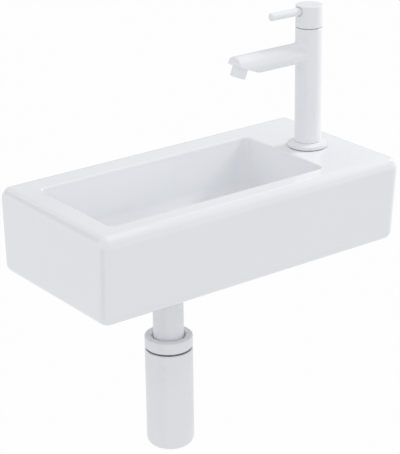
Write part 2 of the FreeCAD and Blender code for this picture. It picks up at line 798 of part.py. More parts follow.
def make_valve_turning_disc():
    disc = rod(TAP, disc_radius, turning_level, driver_level)
    disc = disc.cut(disc_ports(turning_level - overrun, driver_level + overrun, 90))
    slot = Part.makeBox(2 * disc_radius + overrun, driver_tang_width + 2 * running_clearance,
                        driver_tang_depth,
                        TAP + V(-disc_radius - overrun / 2, -driver_tang_width / 2 - running_clearance,
                                driver_level - driver_tang_depth))
    return disc.cut(slot)


def make_valve_spindle():
    driver_top = driver_level + driver_thickness
    ring_low = disc_level + spindle_ring_offset
    clip_low = valve_top + lapped_gap
    shaft = turned(TAP, [
        (0, driver_level), (disc_radius, driver_level), (disc_radius, driver_top),
        (spindle_radius, driver_top),
        (spindle_radius, ring_low), (spindle_radius - spindle_ring_depth, ring_low),
        (spindle_radius - spindle_ring_depth, ring_low + spindle_ring_height),
        (spindle_radius, ring_low + spindle_ring_height), (spindle_radius, clip_low),
        (spindle_radius - circlip_groove_depth, clip_low),
        (spindle_radius - circlip_groove_depth, clip_low + circlip_thickness),
        (spline_radius, clip_low + circlip_thickness), (spline_radius, spindle_top), (0, spindle_top)])
    tang = Part.makeBox(2 * disc_radius, driver_tang_width, driver_tang_depth,
                        TAP + V(-disc_radius, -driver_tang_width / 2, driver_level - driver_tang_depth))
    tang = tang.common(rod(TAP, disc_radius, turning_level, driver_level))
    lug = sector(TAP, valve_sleeve_bore - slip_clearance, 0, disc_level + valve_stop_low + slip_clearance,
                 disc_level + valve_stop_high - slip_clearance, 180 - stop_lug_angle / 2, stop_lug_angle)
    spindle = shaft.fuse(tang).fuse(lug)
    flow = disc_ports(driver_level - overrun, driver_top, 90)
    spindle = spindle.cut(flow.cut(rod(TAP, spindle_radius, driver_level - overrun, driver_top)))
    for tooth in range(spline_teeth):
        centre = polar(TAP, spline_radius, 360 / spline_teeth * tooth)
        low = clip_low + circlip_thickness + spline_radius
        spindle = spindle.cut(rod(centre, spline_tooth_depth, low, spindle_top + overrun))
    return spindle


def make_spindle_o_ring():
    low = disc_level + spindle_ring_offset
    return washer(TAP, spindle_radius + running_clearance / 2, spindle_radius - spindle_ring_depth, low,
                  low + spindle_ring_height)


def make_spindle_circlip():
    low = valve_top + lapped_gap
    clip = washer(TAP, circlip_radius, spindle_radius - circlip_groove_depth, low, low + circlip_thickness)
    gap = Part.makeBox(2 * circlip_radius, circlip_gap_width, circlip_thickness,
                       TAP + V(0, -circlip_gap_width / 2, low))
    return clip.cut(gap)


def make_head_glide_ring():
    outer = column_radius - glide_ring_setback
    return washer(TAP, outer, outer - glide_ring_wall, column_top, column_top + glide_ring_height)


def along_lever(distance):
    rise = math.radians(lever_rise)
    return TAP + V(-math.cos(rise) * distance, 0, rim + lever_height + math.sin(rise) * distance)


def lever_bar(radius, near, far):
    return Part.makeCylinder(radius, far - near, along_lever(near), along_lever(far) - along_lever(near))


def make_handle_head():
    head = turned(TAP, [
        (head_hollow_radius, head_bottom), (column_radius, head_bottom), (column_radius, head_top),
        (0, head_top), (0, head_bottom + head_hollow_depth),
        (head_hollow_radius, head_bottom + head_hollow_depth)])
    head = head.makeFillet(head_edge, rings(head, TAP, column_radius, head_top))
    head = head.makeChamfer(head_seam_edge, rings(head, TAP, column_radius, head_bottom))
    socket_top = spindle_top + slip_clearance
    head = head.cut(rod(TAP, spline_radius + running_clearance, head_bottom, socket_top))
    head = head.cut(lever_bar(lever_thread_radius + running_clearance, lever_thread_end - slip_clearance,
                              column_radius + overrun))
    head = head.cut(lever_bar(lever_spot_radius, lever_spot_floor, column_radius + overrun))
    hole = Part.makeCylinder(grub_radius + running_clearance, column_radius + overrun,
                             TAP + V(0, 0, rim + grub_height), V(1, 0, 0))
    return head.cut(hole)


def make_lever_pin():
    pin = lever_bar(lever_radius, lever_shoulder, lever_reach)
    far = along_lever(lever_reach)
    tip = [edge for edge in pin.Edges if (edge.CenterOfMass - far).Length < overrun / 100]
    pin = pin.makeFillet(lever_tip_round, tip)
    return pin.fuse(lever_bar(lever_thread_radius, lever_thread_end, lever_shoulder + overrun / 2))


def make_grub_screw():
    level = rim + grub_height
    inner = spline_radius + running_clearance
    screw = Part.makeCylinder(grub_radius, grub_outer - inner, TAP + V(inner, 0, level), V(1, 0, 0))
    corners = []
    for side in range(6):
        turn = math.radians(60 * side)
        corners.append(TAP + V(grub_outer - grub_socket_depth, grub_socket_radius * math.cos(turn),
                               level + grub_socket_radius * math.sin(turn)))
    socket = Part.Face(Part.makePolygon(corners + corners[:1])).extrude(V(grub_socket_depth + overrun, 0, 0))
    return screw.cut(socket)


pieces = {
    "basin": make_basin,
    "waste_body": make_waste_body,
    "waste_cover": make_waste_cover,
    "waste_cover_screw": make_waste_cover_screw,
    "waste_flange_gasket": make_waste_flange_gasket,
    "waste_backnut_seal": make_waste_backnut_seal,
    "waste_backnut": make_waste_backnut,
    "tail_union_nut": make_tail_union_nut,
    "tail_union_gasket": make_tail_union_gasket,
    "inlet_tube": make_inlet_tube,
    "trap_collar": make_trap_collar,
    "trap_slip_ring": make_trap_slip_ring,
    "trap_collar_seal": make_trap_collar_seal,
    "trap_neck_gasket": make_trap_neck_gasket,
    "trap_bottle": make_trap_bottle,
    "trap_dip_insert": make_trap_dip_insert,
    "trap_outlet_socket": make_trap_outlet_socket,
    "trap_outlet_seal": make_trap_outlet_seal,
    "tap_body": make_tap_body,
    "tap_base_flange": make_tap_base_flange,
    "tap_base_gasket": make_tap_base_gasket,
    "tap_shank": make_tap_shank,
    "tap_clamp_seal": make_tap_clamp_seal,
    "tap_clamp_washer": make_tap_clamp_washer,
    "tap_backnut": make_tap_backnut,
    "aerator_housing": make_aerator_housing,
    "aerator_cartridge": make_aerator_cartridge,
    "aerator_washer": make_aerator_washer,
    "valve_body": make_valve_body,
    "valve_seat_seal": make_valve_seat_seal,
    "valve_fixed_disc": make_valve_fixed_disc,
    "head_glide_ring": make_head_glide_ring,
    "handle_head": make_handle_head,
    "lever_pin": make_lever_pin,
    "grub_screw": make_grub_screw,
    "valve_spindle": make_valve_spindle,
    "valve_turning_disc": make_valve_turning_disc,
    "spindle_o_ring": make_spindle_o_ring,
    "spindle_circlip": make_spindle_circlip,
}

os.makedirs("parts", exist_ok=True)
for name, make in pieces.items():
    shape = make()
    shape.exportStep(f"parts/{name}.step")
    print(f"{name}: {len(shape.Solids)} solid, {shape.Volume / 1000:.2f} cm3, valid {shape.isValid()}")
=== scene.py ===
import json
import math

import bmesh
import bpy
from bpy.props import FloatProperty, FloatVectorProperty, IntProperty, PointerProperty
from mathutils import Matrix, Vector


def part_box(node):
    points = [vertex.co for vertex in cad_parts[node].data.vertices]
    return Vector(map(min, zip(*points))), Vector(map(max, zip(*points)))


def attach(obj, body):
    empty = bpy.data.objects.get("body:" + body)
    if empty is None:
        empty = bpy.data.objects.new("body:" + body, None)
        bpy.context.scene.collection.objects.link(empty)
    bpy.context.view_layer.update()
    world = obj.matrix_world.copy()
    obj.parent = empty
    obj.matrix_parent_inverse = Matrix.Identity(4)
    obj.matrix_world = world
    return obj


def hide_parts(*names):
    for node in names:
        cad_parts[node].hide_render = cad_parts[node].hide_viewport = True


bl_info = {
    "name": "Hand basin with tap",
    "version": (1, 0, 0),
    "blender": (4, 5, 0),
    "location": "View3D > Sidebar > Hand basin",
    "description": "Finishes, screw threads, spray insert and studio for a small wall-hung hand basin",
    "category": "Object",
}

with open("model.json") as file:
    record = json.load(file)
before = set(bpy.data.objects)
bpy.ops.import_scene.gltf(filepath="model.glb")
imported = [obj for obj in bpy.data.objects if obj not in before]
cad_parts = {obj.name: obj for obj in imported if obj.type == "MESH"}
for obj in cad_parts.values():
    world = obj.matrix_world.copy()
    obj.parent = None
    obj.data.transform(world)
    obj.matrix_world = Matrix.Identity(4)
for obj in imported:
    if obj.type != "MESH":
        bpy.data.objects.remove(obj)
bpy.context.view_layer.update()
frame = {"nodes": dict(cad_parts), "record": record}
nodes = frame["nodes"]

MILLIMETRE = 0.001
WHITE = (1.0, 1.0, 1.0, 1.0)
PALE = (0.9, 0.9, 0.9, 1.0)
COATING_IOR = 1.5
GLAZE_PATCH = 0.11              # size of the slow patches in the glaze, in metres
CLAY_EDGE = 0.00003             # depth over which glaze gives way to bare clay
CLAY_ROUGHNESS = 0.8
SHARP_ANGLE = math.radians(35)  # edges of turned pieces that are sharper than this stay sharp
RIDGE_HALF_WIDTH = 0.44         # of a thread's ridge, in pitches
ROW_SPACING = math.sqrt(0.75)   # between the rows of the honeycomb, in cells
EDGE_ROOM = 0.6                 # between the last cells and the honeycomb's rim, in cells
CELL_FLATS = math.sqrt(3.0)     # width of a cell across its flats, in corner radii
CELL_TURN = math.radians(30)    # brings the flats of neighbours in a row together
RIM_STEPS = 48
RIM_WALLS = 2.0                 # thickness of the honeycomb's rim, in cell walls


def middle(node):
    """The middle of a CAD node's box."""
    low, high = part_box(node)
    return (low + high) / 2


def mount_size(name, size):
    """A size of one of the part's mounts, in metres."""
    mount = next(m for m in frame["record"]["mounts"] if m["name"] == name)
    return mount["dims"][size] * MILLIMETRE


TAP_AXIS = middle("handle_head")
WASTE_AXIS = middle("trap_collar")


def length(name, default, description):
    """A setting for a length."""
    return FloatProperty(name=name, description=description, default=default, min=0.0, precision=5,
                         subtype="DISTANCE", unit="LENGTH")


def colour(name, default, description):
    """A setting for a colour."""
    return FloatVectorProperty(name=name, description=description, default=default, size=3,
                               min=0.0, max=1.0, subtype="COLOR")


def share(name, default, description):
    """A setting between zero and one."""
    return FloatProperty(name=name, description=description, default=default, min=0.0, max=1.0,
                         subtype="FACTOR")


def angle(name, default, description):
    """A setting for an angle, with its default in degrees."""
    return FloatProperty(name=name, description=description, default=math.radians(default),
                         subtype="ANGLE", unit="ROTATION")


def point(name, default, description):
    """A setting for a place or an offset."""
    return FloatVectorProperty(name=name, description=description, default=default, size=3, precision=5,
                               subtype="TRANSLATION", unit="LENGTH")


def power(name, default, description):
    """A setting for the power of a lamp."""
    return FloatProperty(name=name, description=description, default=default, min=0.0, unit="POWER")


class FinishSettings(bpy.types.PropertyGroup):
    """Colours and surface scales of the finishes"""
    glaze: colour("Glaze", (0.892, 0.900, 0.934), "White glaze of the basin")
    glaze_thin: colour("Thin glaze", (0.877, 0.886, 0.922), "Glaze where it has run thinner")
    # Painted light: a lighter glaze tone for the inside of the bowl, standing in for the light that falls
    # there.
    glaze_bowl_light: colour("Pooled glaze", (0.922, 0.936, 0.962), "Thicker glaze that has gathered in the bowl")
    clay: colour("Fired clay", (0.640, 0.600, 0.530), "Bare clay of the ground back and the foot")
    coat: colour("White coat", (0.884, 0.895, 0.928), "Satin coat of the tap, the waste and the trap")
    coat_thin: colour("Thin coat", (0.869, 0.881, 0.916), "The same coat where it is thinner")
    brass: colour("Brass", (0.720, 0.540, 0.260), "Turned brass of the tap's tail and valve")
    brass_dull: colour("Dull brass", (0.560, 0.400, 0.190), "Brass where it has begun to tarnish")
    steel: colour("Steel", (0.600, 0.605, 0.620), "Screws, circlip and clamp washer")
    rubber: colour("Rubber", (0.105, 0.107, 0.114), "Seals and gaskets")
    white_plastic: colour("White plastic", (0.760, 0.765, 0.770), "Nut, insert and slip ring")
    grey_plastic: colour("Grey plastic", (0.520, 0.525, 0.540), "Glide ring under the tap's head")
    disc: colour("Valve ceramic", (0.820, 0.800, 0.740), "Lapped discs of the valve")
    glaze_ripple: length("Glaze ripple", 0.045, "Width of the soft waves in the glaze")
    # The next three settings bound and fade the painted light in the bowl.
    bowl_light_low: point("Pool low", (0.0275, 0.0270, 0.0260),
                    "Pooled glaze from the basin's lower front left corner")
    bowl_light_high: point("Pool high", (0.0830, 0.0260, 0.0010),
                     "Pooled glaze from the basin's upper back right corner")
    bowl_light_fade: length("Pool fade", 0.005, "Depth over which the glaze grows thicker")
    coat_grain: length("Coat grain", 0.0009, "Width of the fine orange peel in the coat")
    turning_step: length("Turning step", 0.00035, "Distance between the marks of the lathe")


class ThreadSettings(bpy.types.PropertyGroup):
    """Screw threads of the tap's tail and the waste's tail"""
    shank_pitch: length("Tail pitch", 0.001814, "Pitch of the tap's half-inch tail")
    shank_depth: length("Tail depth", 0.00105, "Depth of that thread")
    shank_bore: length("Tail bore", 0.006, "Radius of the waterway in the tail")
    relief_height: length("Relief height", 0.0025, "Turned relief above the supply thread")
    waste_pitch: length("Waste pitch", 0.00231, "Pitch of the waste's tail")
    waste_depth: length("Waste depth", 0.00035, "How far that thread shows beyond the plain tail")
    steps: IntProperty(name="Steps", description="Steps in one turn of a thread", default=48, min=12)


class SpraySettings(bpy.types.PropertyGroup):
    """Honeycomb in the mouth of the nozzle"""
    tilt: angle("Nozzle tilt", 22.0, "Lean of the nozzle under the slanting end of the spout")
    height: length("Cartridge height", 0.010, "Height of the cartridge that the honeycomb lies under")
    radius: length("Honeycomb radius", 0.0049, "Outside radius of the honeycomb")
    cell: length("Cell width", 0.0015, "Width of a cell across its flats")
    wall: length("Cell wall", 0.0002, "Thickness of the walls between the cells")
    depth: length("Cell depth", 0.0009, "Depth of the cells")
    rows: IntProperty(name="Rows", description="Rows of cells before the round edge is trimmed",
                      default=9, min=3)


class StudioSettings(bpy.types.PropertyGroup):
    """Camera, floor and light"""
    camera_place: point("Camera place", (-0.97240, -1.38528, 0.62822), "Where the camera stands")
    camera_yaw: angle("Camera yaw", 36.698, "Turn of the view from straight at the wall towards the right")
    camera_pitch: angle("Camera pitch", 21.652, "How far the view looks down")
    camera_roll: angle("Camera roll", -0.739, "Lean of the camera")
    camera_lens: FloatProperty(name="Lens", description="Focal length in millimetres on a 36 mm long side",
                               default=134.57, min=1.0)
    floor_drop: length("Floor drop", 3.0, "Floor below the wall fixings")
    floor_size: length("Floor size", 29.0, "Side of the floor")
    floor_white: share("Floor white", 0.95, "Share of plain white that the camera sees in the floor")
    back_card_low: point("Back card low", (-0.20, 0.90, -0.10),
                         "Lower left corner of the grey card behind the basin")
    back_card_high: point("Back card high", (2.00, 0.90, 1.75), "Upper right corner of that card")
    back_card_tone: share("Back card tone", 0.48, "Grey of that card")
    line_card_low: point("Line card low", (-0.95, 0.88, 0.35),
                         "Lower left corner of the dark card that draws the left edge")
    line_card_high: point("Line card high", (-0.42, 0.88, 1.00), "Upper right corner of that card")
    line_card_tone: share("Line card tone", 0.02, "Grey of that card")
    left_card_low: point("Left card low", (-1.20, -1.05, -0.78),
                         "Lower front corner of the dark card to the left")
    left_card_high: point("Left card high", (-1.20, -0.12, -0.10), "Upper back corner of that card")
    left_card_tone: share("Left card tone", 0.02, "Grey of that card")
    right_card_low: point("Right card low", (1.00, -2.20, 0.25),
                          "Lower front corner of the dark card to the right")
    right_card_high: point("Right card high", (1.00, 0.50, 1.80), "Upper back corner of that card")
    right_card_tone: share("Right card tone", 0.10, "Grey of that card")
    sky: FloatProperty(name="Sky", description="Strength of the even light from all round",
                       default=0.838, min=0.0)
    key_place: point("Key place", (1.07, -0.22, 0.77), "Key light to the right of the basin")
    key_size: length("Key size", 0.2, "Side of the key light")
    key_power: power("Key power", 5.0, "Power of the key light")


class HandBasinSettings(bpy.types.PropertyGroup):
    """All settings of the hand basin"""
    finish: PointerProperty(type=FinishSettings, name="Finish", description="Colours and surface scales")
    thread: PointerProperty(type=ThreadSettings, name="Thread", description="Screw threads")
    spray: PointerProperty(type=SpraySettings, name="Spray", description="Honeycomb in the nozzle")
    studio: PointerProperty(type=StudioSettings, name="Studio", description="Camera, floor and light")


def add_node(tree, kind, values=None, **settings):
    """A new node with its settings, and values for its input sockets by name or place."""
    node = tree.nodes.new(kind)
    for key, value in settings.items():
        setattr(node, key, value)
    for socket, value in (values or {}).items():
        if hasattr(value, "is_linked"):
            tree.links.new(value, node.inputs[socket])
        else:
            node.inputs[socket].default_value = value
    return node


def value_of(tree, kind, values=None, output=0, **settings):
    """One output socket of a new node."""
    return add_node(tree, kind, values, **settings).outputs[output]


def maths(tree, operation, first, second):
    """The result of a calculation with two numbers or sockets."""
    return value_of(tree, "ShaderNodeMath", {0: first, 1: second}, operation=operation)


def remap(tree, value, low=0.0, high=1.0, to_low=0.0, to_high=1.0):
    """A value carried over from one range into another, and held inside it."""
    return value_of(tree, "ShaderNodeMapRange", {0: value, 1: low, 2: high, 3: to_low, 4: to_high})


def mixed_tone(tree, factor, first, second):
    """A tone between two others. The factor is the share of the second."""
    return value_of(tree, "ShaderNodeMix", {0: factor, 6: first, 7: second}, output=2, data_type="RGBA")


def object_place(tree):
    """The place of a surface point in the frame."""
    return value_of(tree, "ShaderNodeTexCoord", output="Object")


def new_tree(name, kind, inputs, outputs):
    """A node group with named sockets, and its input and output nodes."""
    tree = bpy.data.node_groups.new(name, kind)
    for label, socket, default in inputs:
        made = tree.interface.new_socket(label, in_out="INPUT", socket_type=socket)
        if default is not None:
            made.default_value = default
    for label, socket in outputs:
        tree.interface.new_socket(label, in_out="OUTPUT", socket_type=socket)
    return tree, tree.nodes.new("NodeGroupInput").outputs, tree.nodes.new("NodeGroupOutput")


def shader_group(name, build):
    """A shared shader group, built the first time that a finish asks for it."""
    return bpy.data.node_groups.get(name) or build(name)


def build_tone_drift(name):
    """Slow patches between two tones, as in a glaze or a coat of uneven thickness."""
    tree, given, result = new_tree(
        name, "ShaderNodeTree",
        [("Base Tone", "NodeSocketColor", (0.8, 0.8, 0.8, 1.0)),
         ("Drift Tone", "NodeSocketColor", (0.7, 0.7, 0.7, 1.0)),
         ("Patch Size", "NodeSocketFloat", 0.05)],
        [("Color", "NodeSocketColor")])
    scale = maths(tree, "DIVIDE", 1.0, given["Patch Size"])
    patches = value_of(tree, "ShaderNodeTexNoise", {
        "Vector": object_place(tree), "Scale": scale, "Detail": 3.0, "Roughness": 0.45}, output="Fac")
    factor = remap(tree, patches, low=0.38, high=0.68)
    mixed = mixed_tone(tree, factor, given["Base Tone"], given["Drift Tone"])
    tree.links.new(mixed, result.inputs["Color"])
    return tree


def build_fine_grain(name):
    """Fine relief and a roughness that changes with it."""
    tree, given, result = new_tree(
        name, "ShaderNodeTree",
        [("Grain Size", "NodeSocketFloat", 0.001), ("Smooth", "NodeSocketFloat", 0.1),
         ("Rough", "NodeSocketFloat", 0.2)],
        [("Height", "NodeSocketFloat"), ("Roughness", "NodeSocketFloat")])
    place = object_place(tree)
    scale = maths(tree, "DIVIDE", 1.0, given["Grain Size"])
    fine = value_of(tree, "ShaderNodeTexNoise", {"Vector": place, "Scale": scale, "Detail": 2.0},
                    output="Fac")
    broad_share = 0.06
    broad_scale = maths(tree, "MULTIPLY", scale, broad_share)
    broad = value_of(tree, "ShaderNodeTexNoise", {"Vector": place, "Scale": broad_scale}, output="Fac")
    blend = maths(tree, "MULTIPLY", fine, broad)
    rough = remap(tree, blend, low=0.1, high=0.4, to_low=given["Smooth"], to_high=given["Rough"])
    tree.links.new(fine, result.inputs["Height"])
    tree.links.new(rough, result.inputs["Roughness"])
    return tree


def build_turning_marks(name):
    """Lathe marks about an upright axis: rings on the walls and circles on the flat faces."""
    tree, given, result = new_tree(
        name, "ShaderNodeTree",
        [("Axis", "NodeSocketVector", (0.0, 0.0, 0.0)), ("Step", "NodeSocketFloat", 0.0004)],
        [("Height", "NodeSocketFloat")])
    level_plane = (1.0, 1.0, 0.0)
    offset = value_of(tree, "ShaderNodeVectorMath", {0: object_place(tree), 1: given["Axis"]},
                      operation="SUBTRACT")
    flat = value_of(tree, "ShaderNodeVectorMath", {0: offset, 1: level_plane}, operation="MULTIPLY")
    radius = value_of(tree, "ShaderNodeVectorMath", {0: flat}, output="Value", operation="LENGTH")
    level = value_of(tree, "ShaderNodeSeparateXYZ", {0: offset}, output="Z")
    along = maths(tree, "ADD", radius, level)
    steps = maths(tree, "DIVIDE", along, given["Step"])
    marks = value_of(tree, "ShaderNodeTexNoise", {"W": steps, "Scale": 1.0, "Detail": 2.0},
                     output="Fac", noise_dimensions="1D")
    tree.links.new(marks, result.inputs["Height"])
    return tree


def tone_drift(tree, base, drift, patch):
    """A tone that drifts between two colours."""
    group = shader_group("Tone drift", build_tone_drift)
    return value_of(tree, "ShaderNodeGroup", output="Color", node_tree=group, values={
        "Base Tone": (*base, 1.0), "Drift Tone": (*drift, 1.0), "Patch Size": patch})


def fine_grain(tree, size, smooth, rough):
    """The height and the roughness of a fine grain."""
    group = shader_group("Fine grain", build_fine_grain)
    return add_node(tree, "ShaderNodeGroup", node_tree=group, values={
        "Grain Size": size, "Smooth": smooth, "Rough": rough}).outputs


def turning_marks(tree, axis, step):
    """The height of lathe marks."""
    group = shader_group("Turning marks", build_turning_marks)
    return value_of(tree, "ShaderNodeGroup", output="Height", node_tree=group,
                    values={"Axis": axis, "Step": step})


def new_finish(name, constants=None):
    """A material with one Principled shader whose constant sockets are set on the shader itself."""
    material = bpy.data.materials.new(name)
    material.use_nodes = True
    shader = material.node_tree.nodes["Principled BSDF"]
    for socket, value in (constants or {}).items():
        shader.inputs[socket].default_value = value
    return material, material.node_tree, shader


def dress(tree, shader, tone, roughness):
    """Leads a tone and a roughness into a shader."""
    tree.links.new(tone, shader.inputs["Base Color"])
    tree.links.new(roughness, shader.inputs["Roughness"])


def bump(tree, shader, height, strength, distance, under=None):
    """Relief from a height, over the relief of another bump where there is one."""
    values = {"Strength": strength, "Distance": distance, "Height": height}
    if under is not None:
        values["Normal"] = under
    made = value_of(tree, "ShaderNodeBump", values, output="Normal")
    tree.links.new(made, shader.inputs["Normal"])
    return made


def shaded(tone, factor):
    """A lighter or darker copy of a tone."""
    return [channel * factor for channel in tone]


def inside_box(tree, place, low, high):
    """One in the box between two corners, and zero outside it."""
    inside = 1.0
    for axis, first, last in zip("XYZ", low, high):
        for operation, limit in (("GREATER_THAN", first), ("LESS_THAN", last)):
            test = maths(tree, operation, place[axis], limit)
            inside = maths(tree, "MULTIPLY", inside, test)
    return inside


def bowl_light_share(tree, place, finish):
    """Share of the painted light in the bowl's glaze: all of it deep in the bowl, nothing outside the bowl.
    """
    low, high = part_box("basin")
    bowl_light_low = low + finish.bowl_light_low
    bowl_light_high = high - finish.bowl_light_high
    bowl = inside_box(tree, place, bowl_light_low, bowl_light_high)
    deep = remap(tree, place["Z"], low=bowl_light_high.z, high=bowl_light_high.z - finish.bowl_light_fade)
    return maths(tree, "MULTIPLY", bowl, deep)


def bare_share(tree, place):
    """One on the ground back and on the foot, where the clay is bare, and zero elsewhere."""
    foot_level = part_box("basin")[0].z
    back = remap(tree, place["Y"], low=-2 * CLAY_EDGE, high=-CLAY_EDGE)
    foot = remap(tree, place["Z"], low=foot_level + 2 * CLAY_EDGE, high=foot_level + CLAY_EDGE)
    return maths(tree, "MAXIMUM", back, foot)


def glaze_finish(finish):
    """Glossy white glaze with soft waves and a lighter tone painted in the bowl as painted light, with bare
    clay on the back and the foot.
    """
    material, tree, shader = new_finish("white_glaze", {"IOR": COATING_IOR})
    surface = object_place(tree)
    place = add_node(tree, "ShaderNodeSeparateXYZ", {0: surface}).outputs
    plain_glaze = tone_drift(tree, finish.glaze, finish.glaze_thin, GLAZE_PATCH)
    # Painted light: the lighter glaze tone deep in the bowl.
    bowl_light_tone = tone_drift(tree, finish.glaze_bowl_light, shaded(finish.glaze_bowl_light, factor=0.985), GLAZE_PATCH)
    glazed = mixed_tone(tree, bowl_light_share(tree, place, finish), plain_glaze, bowl_light_tone)
    clay = tone_drift(tree, finish.clay, shaded(finish.clay, factor=0.94), patch=0.003)
    bare = bare_share(tree, place)
    grain = fine_grain(tree, size=0.0016, smooth=0.07, rough=0.13)
    rough = remap(tree, bare, to_low=grain["Roughness"], to_high=CLAY_ROUGHNESS)
    dress(tree, shader, mixed_tone(tree, bare, glazed, clay), rough)
    ripple = value_of(tree, "ShaderNodeTexNoise", {
        "Vector": surface, "Scale": 1.0 / finish.glaze_ripple, "Detail": 1.0}, output="Fac")
    waves = bump(tree, shader, ripple, strength=0.25, distance=0.0006)
    bump(tree, shader, grain["Height"], strength=0.05, distance=0.00004, under=waves)
    return material


def coat_finish(finish):
    """Satin white coat with a fine orange peel."""
    material, tree, shader = new_finish("white_coat", {"IOR": COATING_IOR})
    tone = tone_drift(tree, finish.coat, finish.coat_thin, patch=0.035)
    grain = fine_grain(tree, finish.coat_grain, smooth=0.26, rough=0.36)
    dress(tree, shader, tone, grain["Roughness"])
    bump(tree, shader, grain["Height"], strength=0.05, distance=0.00004)
    return material


def metal_finish(name, bright, dull, step, smooth, rough):
    """Turned or brushed metal with lathe marks and a little tarnish."""
    material, tree, shader = new_finish(name, {"Metallic": 1.0, "Anisotropic": 0.35})
    tone = tone_drift(tree, bright, dull, patch=0.012)
    grain = fine_grain(tree, size=0.0007, smooth=smooth, rough=rough)
    dress(tree, shader, tone, grain["Roughness"])
    bump(tree, shader, turning_marks(tree, TAP_AXIS, step), strength=0.3, distance=0.00005)
    return material


def moulded_finish(name, tone, drift, grain_size, smooth, rough, relief):
    """Rubber, plastic or lapped ceramic with a fine moulded grain."""
    material, tree, shader = new_finish(name)
    grain = fine_grain(tree, grain_size, smooth, rough)
    dress(tree, shader, tone_drift(tree, tone, shaded(tone, drift), patch=0.008), grain["Roughness"])
    bump(tree, shader, grain["Height"], strength=relief, distance=0.00005)
    return material


def put_on(slot, material):
    """Gives a finish to every CAD node of one material slot of the record."""
    found = [part["node"] for part in frame["record"]["subparts"] if part["material_slot"] == slot]
    if not found:
        raise RuntimeError(f"the record has no node with the material slot {slot}")
    for name in found:
        nodes[name].data.materials.clear()
        nodes[name].data.materials.append(material)


def finished_material(name):
    """A finish that an earlier step has made."""
    if name not in bpy.data.materials:
        raise RuntimeError(f"the finish {name} isn't made yet")
    return bpy.data.materials[name]


def new_piece(name, content):
    """A new object in the scene, from a mesh, a lamp or a camera."""
    piece = bpy.data.objects.new(name, content)
    bpy.context.scene.collection.objects.link(piece)
    return piece


def turned_mesh(name, axis, profile, steps):
    """A closed ring of revolution about an upright axis, from a closed profile of (radius, level)."""
    body = bmesh.new()
    turns = [2 * math.pi * step / steps for step in range(steps)]
    rings = []
    for radius, level in profile:
        ring = []
        for turn in turns:
            x = axis.x + radius * math.cos(turn)
            y = axis.y + radius * math.sin(turn)
            ring.append(body.verts.new((x, y, level)))
        rings.append(ring)
    for index, ring in enumerate(rings):
        other = rings[index - 1]
        for step in range(steps):
            after = (step + 1) % steps
            body.faces.new((other[step], other[after], ring[after], ring[step]))
    bmesh.ops.recalc_face_normals(body, faces=body.faces)
    mesh = bpy.data.meshes.new(name)
    body.to_mesh(mesh)
    body.free()
    mesh.shade_smooth()
    mesh.set_sharp_from_angle(angle=SHARP_ANGLE)
    return mesh


def join(tree, parts):
    """Several geometries as one, with their instances made real."""
    joined = add_node(tree, "GeometryNodeJoinGeometry")
    for part in parts:
        tree.links.new(part, joined.inputs[0])
    return value_of(tree, "GeometryNodeRealizeInstances", {0: joined.outputs[0]})


def flat_shaded(tree, geometry):
    """A geometry whose faces are shaded flat."""
    return value_of(tree, "GeometryNodeSetShadeSmooth", {"Geometry": geometry, "Shade Smooth": False})


def end_tree(tree, geometry, material, result):
    """Sets the material and leads the geometry to the group's output."""
    finished = value_of(tree, "GeometryNodeSetMaterial", {"Geometry": geometry, "Material": material})
    tree.links.new(finished, result.inputs[0])
    return tree


def screw_thread_tree():
    """Adds the ridge of a screw thread to a piece: a four-sided bar that climbs round an upright axis."""
    name = "Screw thread"
    if name in bpy.data.node_groups:
        return bpy.data.node_groups[name]
    tree, given, result = new_tree(
        name, "GeometryNodeTree",
        [("Geometry", "NodeSocketGeometry", None), ("Start", "NodeSocketVector", None),
         ("Root Radius", "NodeSocketFloat", 0.01), ("Ridge Height", "NodeSocketFloat", 0.001),
         ("Pitch", "NodeSocketFloat", 0.002), ("Length", "NodeSocketFloat", 0.02),
         ("Steps", "NodeSocketInt", 48), ("Material", "NodeSocketMaterial", None)],
        [("Geometry", "NodeSocketGeometry")])
    turns = maths(tree, "DIVIDE", given["Length"], given["Pitch"])
    spiral = value_of(tree, "GeometryNodeCurveSpiral", {
        "Resolution": given["Steps"], "Rotations": turns, "Start Radius": given["Root Radius"],
        "End Radius": given["Root Radius"], "Height": given["Length"]})
    upright = value_of(tree, "GeometryNodeSetCurveNormal", {"Curve": spiral}, mode="Z_UP")
    diamond = value_of(tree, "GeometryNodeCurvePrimitiveCircle", {"Resolution": 4, "Radius": 1.0},
                       output="Curve")
    half_width = maths(tree, "MULTIPLY", given["Pitch"], RIDGE_HALF_WIDTH)
    size = value_of(tree, "ShaderNodeCombineXYZ", {"X": given["Ridge Height"], "Y": half_width, "Z": 1.0})
    profile = value_of(tree, "GeometryNodeTransform", {"Geometry": diamond, "Scale": size})
    ridge = value_of(tree, "GeometryNodeCurveToMesh", {
        "Curve": upright, "Profile Curve": profile, "Fill Caps": True})
    placed = value_of(tree, "GeometryNodeTransform", {
        "Geometry": flat_shaded(tree, ridge), "Translation": given["Start"]})
    real = join(tree, (placed, given["Geometry"]))
    return end_tree(tree, real, given["Material"], result)


